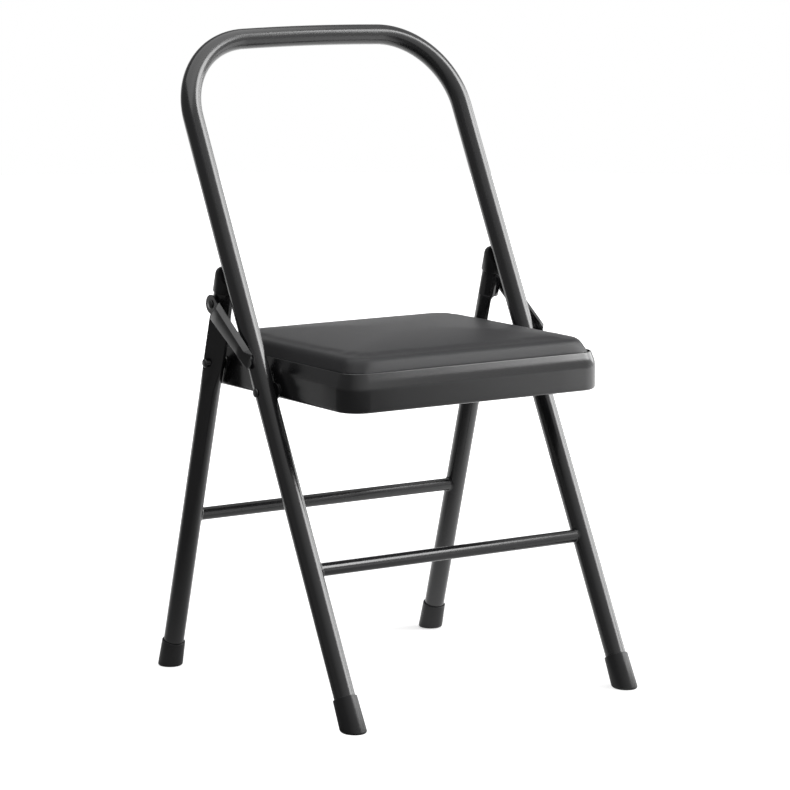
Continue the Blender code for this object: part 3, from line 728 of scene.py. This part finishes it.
def foot(end, word, side, base, up, tall, body):
    """A rubber cup round the tube end: level rounded sole, square rounded rim."""
    rim = tall / up.z
    across = Vector((0.0, up.z, -up.y))
    centre = at_x(base, side * HALF_TRACK)

    def ring(radius, height, level):
        points = []
        for cos, sin in circle(TUBE_SIDES):
            reach = across * (radius * sin)
            along = (height - reach.z) / up.z if level else height
            points.append(centre + Vector((side * radius * cos, 0, 0)) + reach + up * along)
        return points

    rings = [ring(FOOT_SOLE_R - FOOT_ROUND - FOOT_SOLE_MARGIN, 0.0, True)]
    for less_cos, less_sin in quarter(range(0, 91, 15)):
        rings.append(ring(FOOT_SOLE_R - FOOT_ROUND * less_sin, FOOT_ROUND * less_cos, True))
    for less_cos, less_sin in quarter(range(0, 91, 18)):
        rings.append(ring(FOOT_RIM_R - FOOT_LIP * less_cos, rim - FOOT_LIP * less_sin, False))
    rings += [ring(BORE_R, rim - depth, False) for depth in FOOT_MOUTH]
    piece = skin("foot_" + end + "_" + word, rings, sharp=40)
    dress(piece, FOOT_RUBBER, body, "foot_rubber", end + "_foot_" + word)


def rear_cap(word, side):
    """The plastic cap: domed, with a slanted flat front where it rests on the front tube."""
    rim = CAP_RIM_Z / REAR_UP.z
    top = CAP_TOP_Z / REAR_UP.z
    profile = [(AXIS_R, top)]
    for degrees in range(78, -1, -13):
        angle = math.radians(degrees)
        radius = CAP_R * math.cos(angle) ** CAP_FULLNESS
        profile.append((radius, top - CAP_DOME * (1 - math.sin(angle))))
    profile += [(CAP_R - inset, rim + rise) for inset, rise in CAP_RIM]
    profile += [(BORE_R, rim), (BORE_R, rim + CAP_MOUTH)]
    base = at_x(rear_at(0.0), side * HALF_TRACK)
    cap = turned("cap_" + word, profile, base, REAR_UP, TUBE_SIDES)
    bm = bmesh.new()
    bm.from_mesh(cap.data)
    inverse = cap.matrix_world.inverted()
    slant = at_x(front_at(CAP_RIM_Z) + FRONT_BEHIND * BORE_R, side * HALF_TRACK)
    cut = bmesh.ops.bisect_plane(
        bm,
        geom=bm.verts[:] + bm.edges[:] + bm.faces[:],
        plane_co=inverse @ slant,
        plane_no=inverse.to_3x3() @ FRONT_BEHIND,
        clear_inner=True,
    )
    edges = [item for item in cut["geom_cut"] if isinstance(item, bmesh.types.BMEdge)]
    bmesh.ops.holes_fill(bm, edges=edges)
    bm.to_mesh(cap.data)
    bm.free()
    round_edges(cap, CAP_EDGE, 3)
    apply_modifiers(cap, 40)
    dress(cap, CAP_PLASTIC, "rear_legs", "cap_plastic", "rear_cap_" + word)


# Seat


def flare(y):
    """The share by which the seat widens towards its front."""
    share = (FLARE_FROM_Y - y) / (FLARE_FROM_Y - PAN_FRONT_Y)
    return 1.0 + PAN_FLARE / PAN_HALF * min(1.0, max(0.0, share))


def seat_outline(inset, corner, per_corner, per_side):
    """The pan's outline moved in by inset: (x, y), counter-clockwise from the rear right."""
    half = PAN_HALF - inset
    y_front = PAN_FRONT_Y + inset
    y_rear = PAN_REAR_Y - inset
    corners = (
        (half - corner, y_rear - corner, 0),
        (-half + corner, y_rear - corner, 90),
        (-half + corner, y_front + corner, 180),
        (half - corner, y_front + corner, 270),
    )
    points = []
    for index, (x, y, angle) in enumerate(corners):
        points += arc((x, y), corner, angle, angle + 90, per_corner)
        next_x, next_y, next_angle = corners[(index + 1) % 4]
        last = Vector(points[-1])
        first = Vector(arc((next_x, next_y), corner, next_angle, next_angle + 90, 1)[0])
        for i in range(1, per_side):
            points.append(tuple(last.lerp(first, i / per_side)))
    return [(x * flare(y), y) for x, y in points]


def seat_pan():
    """The pressed pan as one skin: recess, rolled lip, shoulder, wall, turned-in hem, inside."""
    profile = [(DECK_MARGIN, DECK_TOP_Z)]
    profile += [(RIM_WIDE + further, DECK_TOP_Z + rise) for further, rise in RECESS_FOOT]
    for less_cos, less_sin in quarter(range(0, 91, 18)):
        profile.append((RIM_WIDE - RIM_LIP * less_cos, PAN_RIM_Z - RIM_LIP * less_sin))
    profile += [(inset, PAN_RIM_Z - drop) for inset, drop in SHOULDER]
    high = PAN_RIM_Z - SHOULDER[-1][1]
    for share in PAN_WALL_SHARES:
        profile.append((0.0, high + (PAN_LOW_Z + PAN_HEM - high) * share))
    for less_cos, less_sin in quarter(range(0, 91, 15)):
        profile.append((PAN_HEM * less_cos, PAN_LOW_Z + PAN_HEM * less_sin))
    profile += [
        (HEM_WIDE - HEM_ROUND, PAN_LOW_Z),
        (HEM_WIDE, PAN_LOW_Z + HEM_ROUND),
        (HEM_WIDE, PAN_LOW_Z + HEM_THICK),
        (PAN_WALL + PAN_WALL_ROUND, PAN_LOW_Z + HEM_THICK),
        (PAN_WALL, PAN_LOW_Z + HEM_THICK + PAN_WALL_ROUND),
        (PAN_WALL, DECK_LOW_Z - PAN_WALL_ROUND),
        (PAN_WALL + PAN_WALL_ROUND, DECK_LOW_Z),
    ]
    rings = []
    for inset, z in profile:
        outline = seat_outline(inset, PAN_CORNER - inset, per_corner=16, per_side=8)
        rings.append([Vector((x, y, z)) for x, y in outline])
    pan = skin("pan", rings, SEAT_FRAME, sharp=35)
    dress(pan, PRESSED_BLACK, "seat", "pressed_steel", "seat_pan")


def cushion_form(slack):
    """The padded seat as rings: tucked in at the rim, full low on its side, crowned on top.

    The form stays back from its full size by slack, for the cover to swell into.
    """
    rings = []
    for inset, share in CUSHION_SIDES:
        back = slack * SLACK_AT_SIDES * math.sqrt(share)
        outline = seat_outline(CUSHION_INSET + inset + back, CUSHION_CORNER, 6, 8)
        height = CUSHION_BASE_Z + share * (CUSHION_EDGE - slack * SLACK_ON_TOP)
        rings.append([Vector((x, y, height)) for x, y in outline])
    middle = (PAN_FRONT_Y + PAN_REAR_Y) / 2
    crown = CUSHION_CROWN - slack * SLACK_ON_TOP
    edge = rings[-1]
    for scale in CROWN_SCALES:
        height = edge[0].z + crown * (1 - scale**CROWN_POWER)
        ring = []
        for point in edge:
            ring.append(Vector((point.x * scale, middle + (point.y - middle) * scale, height)))
        rings.append(ring)
    pad = skin("cushion", rings, sharp=CUSHION_SHARP)
    subdivide(pad, 2)
    return pad


def relax(pad, rounds):
    """Smooths the small steps that remeshing leaves, away from the base."""
    bm = bmesh.new()
    bm.from_mesh(pad.data)
    free = [v for v in bm.verts if v.co.z > CUSHION_BASE_Z + COVER_SMOOTHED]
    for _ in range(rounds):
        bmesh.ops.smooth_vert(
            bm, verts=free, factor=0.5, use_axis_x=True, use_axis_y=True, use_axis_z=True
        )
    bm.to_mesh(pad.data)
    bm.free()


def swell(pad, most):
    """The cover swells as cloth under pressure, held at its base, by no more than most."""
    even = pad.modifiers.new("even", "REMESH")
    even.mode = "VOXEL"
    even.voxel_size = COVER_VOXEL
    apply_modifiers(pad, CUSHION_SHARP)
    relax(pad, 4)
    held = pad.vertex_groups.new(name="held")
    low = [v.index for v in pad.data.vertices if v.co.z < CUSHION_BASE_Z + COVER_HELD]
    held.add(low, 1.0, "REPLACE")
    before = [v.co.copy() for v in pad.data.vertices]
    outward = [v.normal.copy() for v in pad.data.vertices]
    cloth = pad.modifiers.new("cover", "CLOTH")
    settings = cloth.settings
    settings.quality = 5
    settings.mass = 0.4
    settings.tension_stiffness = 8.0
    settings.compression_stiffness = 8.0
    settings.bending_stiffness = 2.0
    settings.use_pressure = True
    settings.uniform_pressure_force = 4.0
    settings.effector_weights.gravity = 0.0
    settings.vertex_group_mass = "held"
    cloth.point_cache.frame_start = 1
    cloth.point_cache.frame_end = COVER_FRAMES
    for step in range(1, COVER_FRAMES + 1):
        bpy.context.scene.frame_set(step)
    apply_modifiers(pad, CUSHION_SHARP)
    bpy.context.scene.frame_set(1)
    for vert, start, out in zip(pad.data.vertices, before, outward):
        moved = min(most, max(0.0, (vert.co - start).dot(out)))
        vert.co = start + out * moved


def cushion():
    pad = cushion_form(CUSHION_SLACK)
    swell(pad, CUSHION_SWELL)
    relax(pad, 3)
    subdivide(pad, 1)
    pad.matrix_world = SEAT_FRAME
    dress(pad, COVER, "seat", "cushion_cover", "seat_cushion")


# Links and fasteners


def plate(name, outline, centre, x_way, y_way, thick):
    """A flat outline with its middle plane through centre."""
    bm = bmesh.new()
    z_way = x_way.cross(y_way)
    near = []
    far = []
    for x, y in outline:
        point = centre + x_way * x + y_way * y
        near.append(bm.verts.new(point - z_way * (thick / 2)))
        far.append(bm.verts.new(point + z_way * (thick / 2)))
    bm.faces.new(near)
    bm.faces.new(reversed(far))
    count = len(outline)
    for i in range(count):
        j = (i + 1) % count
        bm.faces.new((near[j], near[i], far[i], far[j]))
    return add_piece(name, bm)


def on_link(along, out, side):
    return at_x(LINK_PIVOT + LINK_ALONG * along, side * (LINK_IN + out))


def link_channel(name, side, inset, floor_out):
    """The link's raised form, moved in by inset; its outer face narrows downwards."""
    ahead = LINK_ALONG.cross(Vector((1.0, 0.0, 0.0)))
    start = -LINK_TAIL - LINK_LOW_END
    end = LINK_LONG - HEAD_R - LINK_HIGH_END
    top = LINK_DEEP - inset
    low = start + inset + LINK_LOW_SLOPE
    high = end - inset - LINK_SLOPE
    stations = [(start + inset, floor_out + LINK_STEP, 0.0)]
    for i in range(LINK_STATIONS + 1):
        stations.append((low + (high - low) * i / LINK_STATIONS, top, i / LINK_STATIONS))
    stations.append((end - inset, floor_out + LINK_STEP, 1.0))
    rings = []
    for along, depth, share in stations:
        narrow = LINK_FRONT_LOW + (LINK_FRONT - LINK_FRONT_LOW) * share
        if depth < top:
            narrow = LINK_FRONT
        corners = (
            (floor_out, -LINK_BACK_IN),
            (floor_out, LINK_FRONT),
            (depth, narrow),
            (depth, -LINK_BACK),
        )
        ring = []
        for out, place in corners:
            beside = place - math.copysign(inset, place)
            ring.append(on_link(along, out, side) + ahead * beside)
        rings.append(ring)
    return skin(name, rings)


def side_link(word, side):
    """A pressed channel, open towards the chair, between two flat eyes."""
    outward = Vector((side, 0.0, 0.0))
    spread = math.degrees(math.asin(LINK_BACK / EYE_R))
    outline = arc((LINK_LONG, 0.0), EYE_R, spread - 180, 180 - spread, EYE_STEPS)
    outline += arc((-LINK_TAIL, 0.0), EYE_R, spread, 360 - spread, EYE_STEPS)
    centre = on_link(0.0, LINK_SHEET / 2, side)
    across = outward.cross(LINK_ALONG)
    link = plate("link_" + word, outline, centre, LINK_ALONG, across, LINK_SHEET)
    body = link_channel("channel_form_" + word, side, 0.0, LINK_SHEET / 3)
    round_edges(body, LINK_ROUND, 4)
    apply_modifiers(body)
    hollow = link_channel("hollow_form_" + word, side, LINK_SHEET, -LINK_SHEET)
    for operation, other in (("UNION", body), ("DIFFERENCE", hollow)):
        modifier = link.modifiers.new(operation.lower(), "BOOLEAN")
        modifier.operation = operation
        modifier.solver = "EXACT"
        modifier.object = other
    round_edges(link, LINK_EDGE, 2, 50)
    apply_modifiers(link, 40)
    for helper in (body, hollow):
        bpy.data.objects.remove(helper, do_unlink=True)
    dress(link, PRESSED_BLACK, "link_" + word, "pressed_steel", "side_link_" + word)


def link_rivet(name, point, side, inner, body, node):
    """A domed rivet head on the side link, and its shank as far in as inner."""
    edge, dome = HEAD_DOME
    profile = [(AXIS_R, LINK_OUT + HEAD_TALL)]
    for degrees in range(80, 9, -10):
        angle = math.radians(degrees)
        height = LINK_OUT + HEAD_TALL * (edge + dome * math.sin(angle))
        profile.append((HEAD_R * math.cos(angle), height))
    profile += [(HEAD_R - inset, LINK_OUT + HEAD_TALL * share) for inset, share in HEAD_RIM]
    profile += [(PIN_R, LINK_OUT), (PIN_R, inner)]
    piece = turned(name, profile, at_x(point, 0.0), (side, 0, 0), 40)
    dress(piece, FASTENER_BLACK, body, "fasteners", node)


def carried_nodes():
    """CAD nodes whose shape is right: they get their material and smooth shading."""
    finishes = {
        "cushion_board": BOARD,
        "cushion_screw": ZINC,
        "hinge_plate": PRESSED_BLACK,
        "spacer": FASTENER_BLACK,
        "washer": FASTENER_BLACK,
        "pivot_rivet": FASTENER_BLACK,
    }
    for name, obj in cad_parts.items():
        for word, material in finishes.items():
            if word in name:
                paint(obj, material)
                shade(obj)


# Studio


def area_light(name, place, aim, size, radiance, along):
    """A soft box whose face has the given radiance; its width runs along the given line."""
    light = bpy.data.lights.new(name, "AREA")
    light.shape = "RECTANGLE"
    light.size = size[0]
    light.size_y = size[1]
    light.energy = math.pi * size[0] * size[1] * radiance
    obj = bpy.data.objects.new(name, light)
    bpy.context.scene.collection.objects.link(obj)
    back = (Vector(place) - Vector(aim)).normalized()
    wide = Vector(along)
    wide = (wide - back * wide.dot(back)).normalized()
    turn = Matrix((wide, back.cross(wide), back)).transposed().to_4x4()
    obj.matrix_world = Matrix.Translation(place) @ turn


def studio_world():
    """A white backdrop behind and at the right of the chair in a darker room.

    The camera sees white wherever it looks, and gloss and glass see the backdrop.
    """
    world = bpy.data.worlds.new("studio")
    bpy.context.scene.world = world
    world.use_nodes = True
    tree = world.node_tree
    tree.nodes.clear()
    direction = tree.nodes.new("ShaderNodeTexCoord").outputs["Generated"]
    height = tree.nodes.new("ShaderNodeSeparateXYZ")
    tree.links.new(direction, height.inputs["Vector"])
    level = ramp(tree, lies_towards(tree, direction, ROOM_SIDE), ROOM_RUN, ROOM_DARK, ROOM_LIGHT)
    around = ramp(tree, lies_towards(tree, direction, WHITE_SIDE), WHITE_EDGE, 0.0, 1.0)
    low = ramp(tree, height.outputs["Z"], WHITE_TOP, 1.0, 0.0)
    path = tree.nodes.new("ShaderNodeLightPath")
    lit = arithmetic(tree, "MAXIMUM", mirrored_rays(tree, path), BACKDROP_LIGHT)
    shown = arithmetic(tree, "MULTIPLY", lit, arithmetic(tree, "MULTIPLY", around, low))
    share = arithmetic(tree, "MAXIMUM", path.outputs["Is Camera Ray"], shown)
    room = add_node(tree, "ShaderNodeBackground", Strength=1.0)
    tree.links.new(grey(tree, level), room.inputs["Color"])
    white = add_node(tree, "ShaderNodeBackground", Color=(1.0, 1.0, 1.0, 1.0), Strength=1.0)
    mix = tree.nodes.new("ShaderNodeMixShader")
    tree.links.new(share, mix.inputs["Fac"])
    tree.links.new(room.outputs["Background"], mix.inputs[1])
    tree.links.new(white.outputs["Background"], mix.inputs[2])
    out = tree.nodes.new("ShaderNodeOutputWorld")
    tree.links.new(mix.outputs["Shader"], out.inputs["Surface"])


def studio():
    bpy.context.scene.view_settings.view_transform = "Standard"
    studio_world()
    for lamp in LAMPS:
        area_light(*lamp)


def floor():
    """A white sheet that keeps the shadow near the chair and runs into the white behind; its
    colour is darker away from its pale side, as painted shade.

    What its colour lacks of white is added as a glow for the camera, and gloss sees part of it
    towards the pale side only, as painted light in reflections.
    """
    bm = bmesh.new()
    bmesh.ops.create_circle(bm, cap_ends=True, segments=64, radius=FLOOR_RADIUS)
    obj = add_piece("floor", bm)
    obj.location.z = -FLOOR_DOWN
    material, tree, shader = new_material("floor_white", (0.70, 0.70, 0.70), 0.9, specular=0.1)
    point = object_point(tree)
    far = add_node(tree, "ShaderNodeVectorMath", operation="LENGTH")
    tree.links.new(point, far.inputs[0])
    side = lies_towards(tree, point, FLOOR_SIDE)
    # painted shade: the floor's colour darkens away from its pale side, where the light falls off
    pale = ramp(tree, side, PALE_RUN, FLOOR_PAINTED_SHADE, FLOOR_PALE)
    tree.links.new(grey(tree, pale), shader.inputs["Base Color"])
    fade = ramp(tree, far.outputs["Value"], FLOOR_FADE, 0.0, 1.0)
    level = arithmetic(tree, "MAXIMUM", arithmetic(tree, "SUBTRACT", FLOOR_SEEN, pale), fade)
    glow = add_node(tree, "ShaderNodeEmission", Strength=1.0)
    tree.links.new(grey(tree, level), glow.inputs["Color"])
    path = tree.nodes.new("ShaderNodeLightPath")
    # painted light in reflections: gloss sees part of the glow, more towards the pale side
    mirrored = ramp(tree, side, MIRRORED_RUN, 0.0, FLOOR_MIRRORED)
    part = arithmetic(tree, "MULTIPLY", mirrored_rays(tree, path), mirrored)
    share = arithmetic(tree, "MAXIMUM", path.outputs["Is Camera Ray"], part)
    none = add_node(tree, "ShaderNodeEmission", Color=(0.0, 0.0, 0.0, 1.0), Strength=0.0)
    pick = tree.nodes.new("ShaderNodeMixShader")
    tree.links.new(share, pick.inputs["Fac"])
    tree.links.new(none.outputs["Emission"], pick.inputs[1])
    tree.links.new(glow.outputs["Emission"], pick.inputs[2])
    add = tree.nodes.new("ShaderNodeAddShader")
    tree.links.new(shader.outputs["BSDF"], add.inputs[0])
    tree.links.new(pick.outputs["Shader"], add.inputs[1])
    tree.links.new(add.outputs["Shader"], tree.nodes["Material Output"].inputs["Surface"])
    obj.data.materials.append(material)


def camera():
    data = bpy.data.cameras.new("camera")
    data.lens = CAMERA_LENS
    data.sensor_width = CAMERA_SENSOR
    obj = bpy.data.objects.new("camera", data)
    bpy.context.scene.collection.objects.link(obj)
    obj.location = CAMERA_PLACE
    obj.rotation_euler = (CAMERA_AIM - CAMERA_PLACE).to_track_quat("-Z", "Y").to_euler()
    bpy.context.scene.camera = obj


def side_pieces(word, side):
    """Everything that the chair has once on its left and once on its right."""
    rear_tube(word, side)
    rear_cap(word, side)
    foot("front", word, side, front_at(0.0), FRONT_UP, FRONT_FOOT_TALL, "front_frame")
    foot("rear", word, side, rear_at(0.0), REAR_UP, REAR_FOOT_TALL, "rear_legs")
    side_link(word, side)
    low_node = "link_pivot_rivet_" + word
    low_in = OUTER - PIN_IN_TUBE
    link_rivet("rivet_link_low_" + word, LINK_PIVOT, side, low_in, "front_frame", low_node)
    high_node = "link_rear_rivet_" + word
    high_in = BOSS_OUT + GAP
    link_rivet("rivet_link_high_" + word, LINK_PIN, side, high_in, "link_" + word, high_node)


camera()
studio()
floor()
front_tube()
crossbar("front", front_at(FRONT_BAR_Z), FRONT_BEHIND, "front_frame")
crossbar("rear", rear_at(REAR_BAR_Z), REAR_BEHIND, "rear_legs")
seat_pan()
cushion()
for side_word, side_sign in SIDES:
    side_pieces(side_word, side_sign)
carried_nodes()
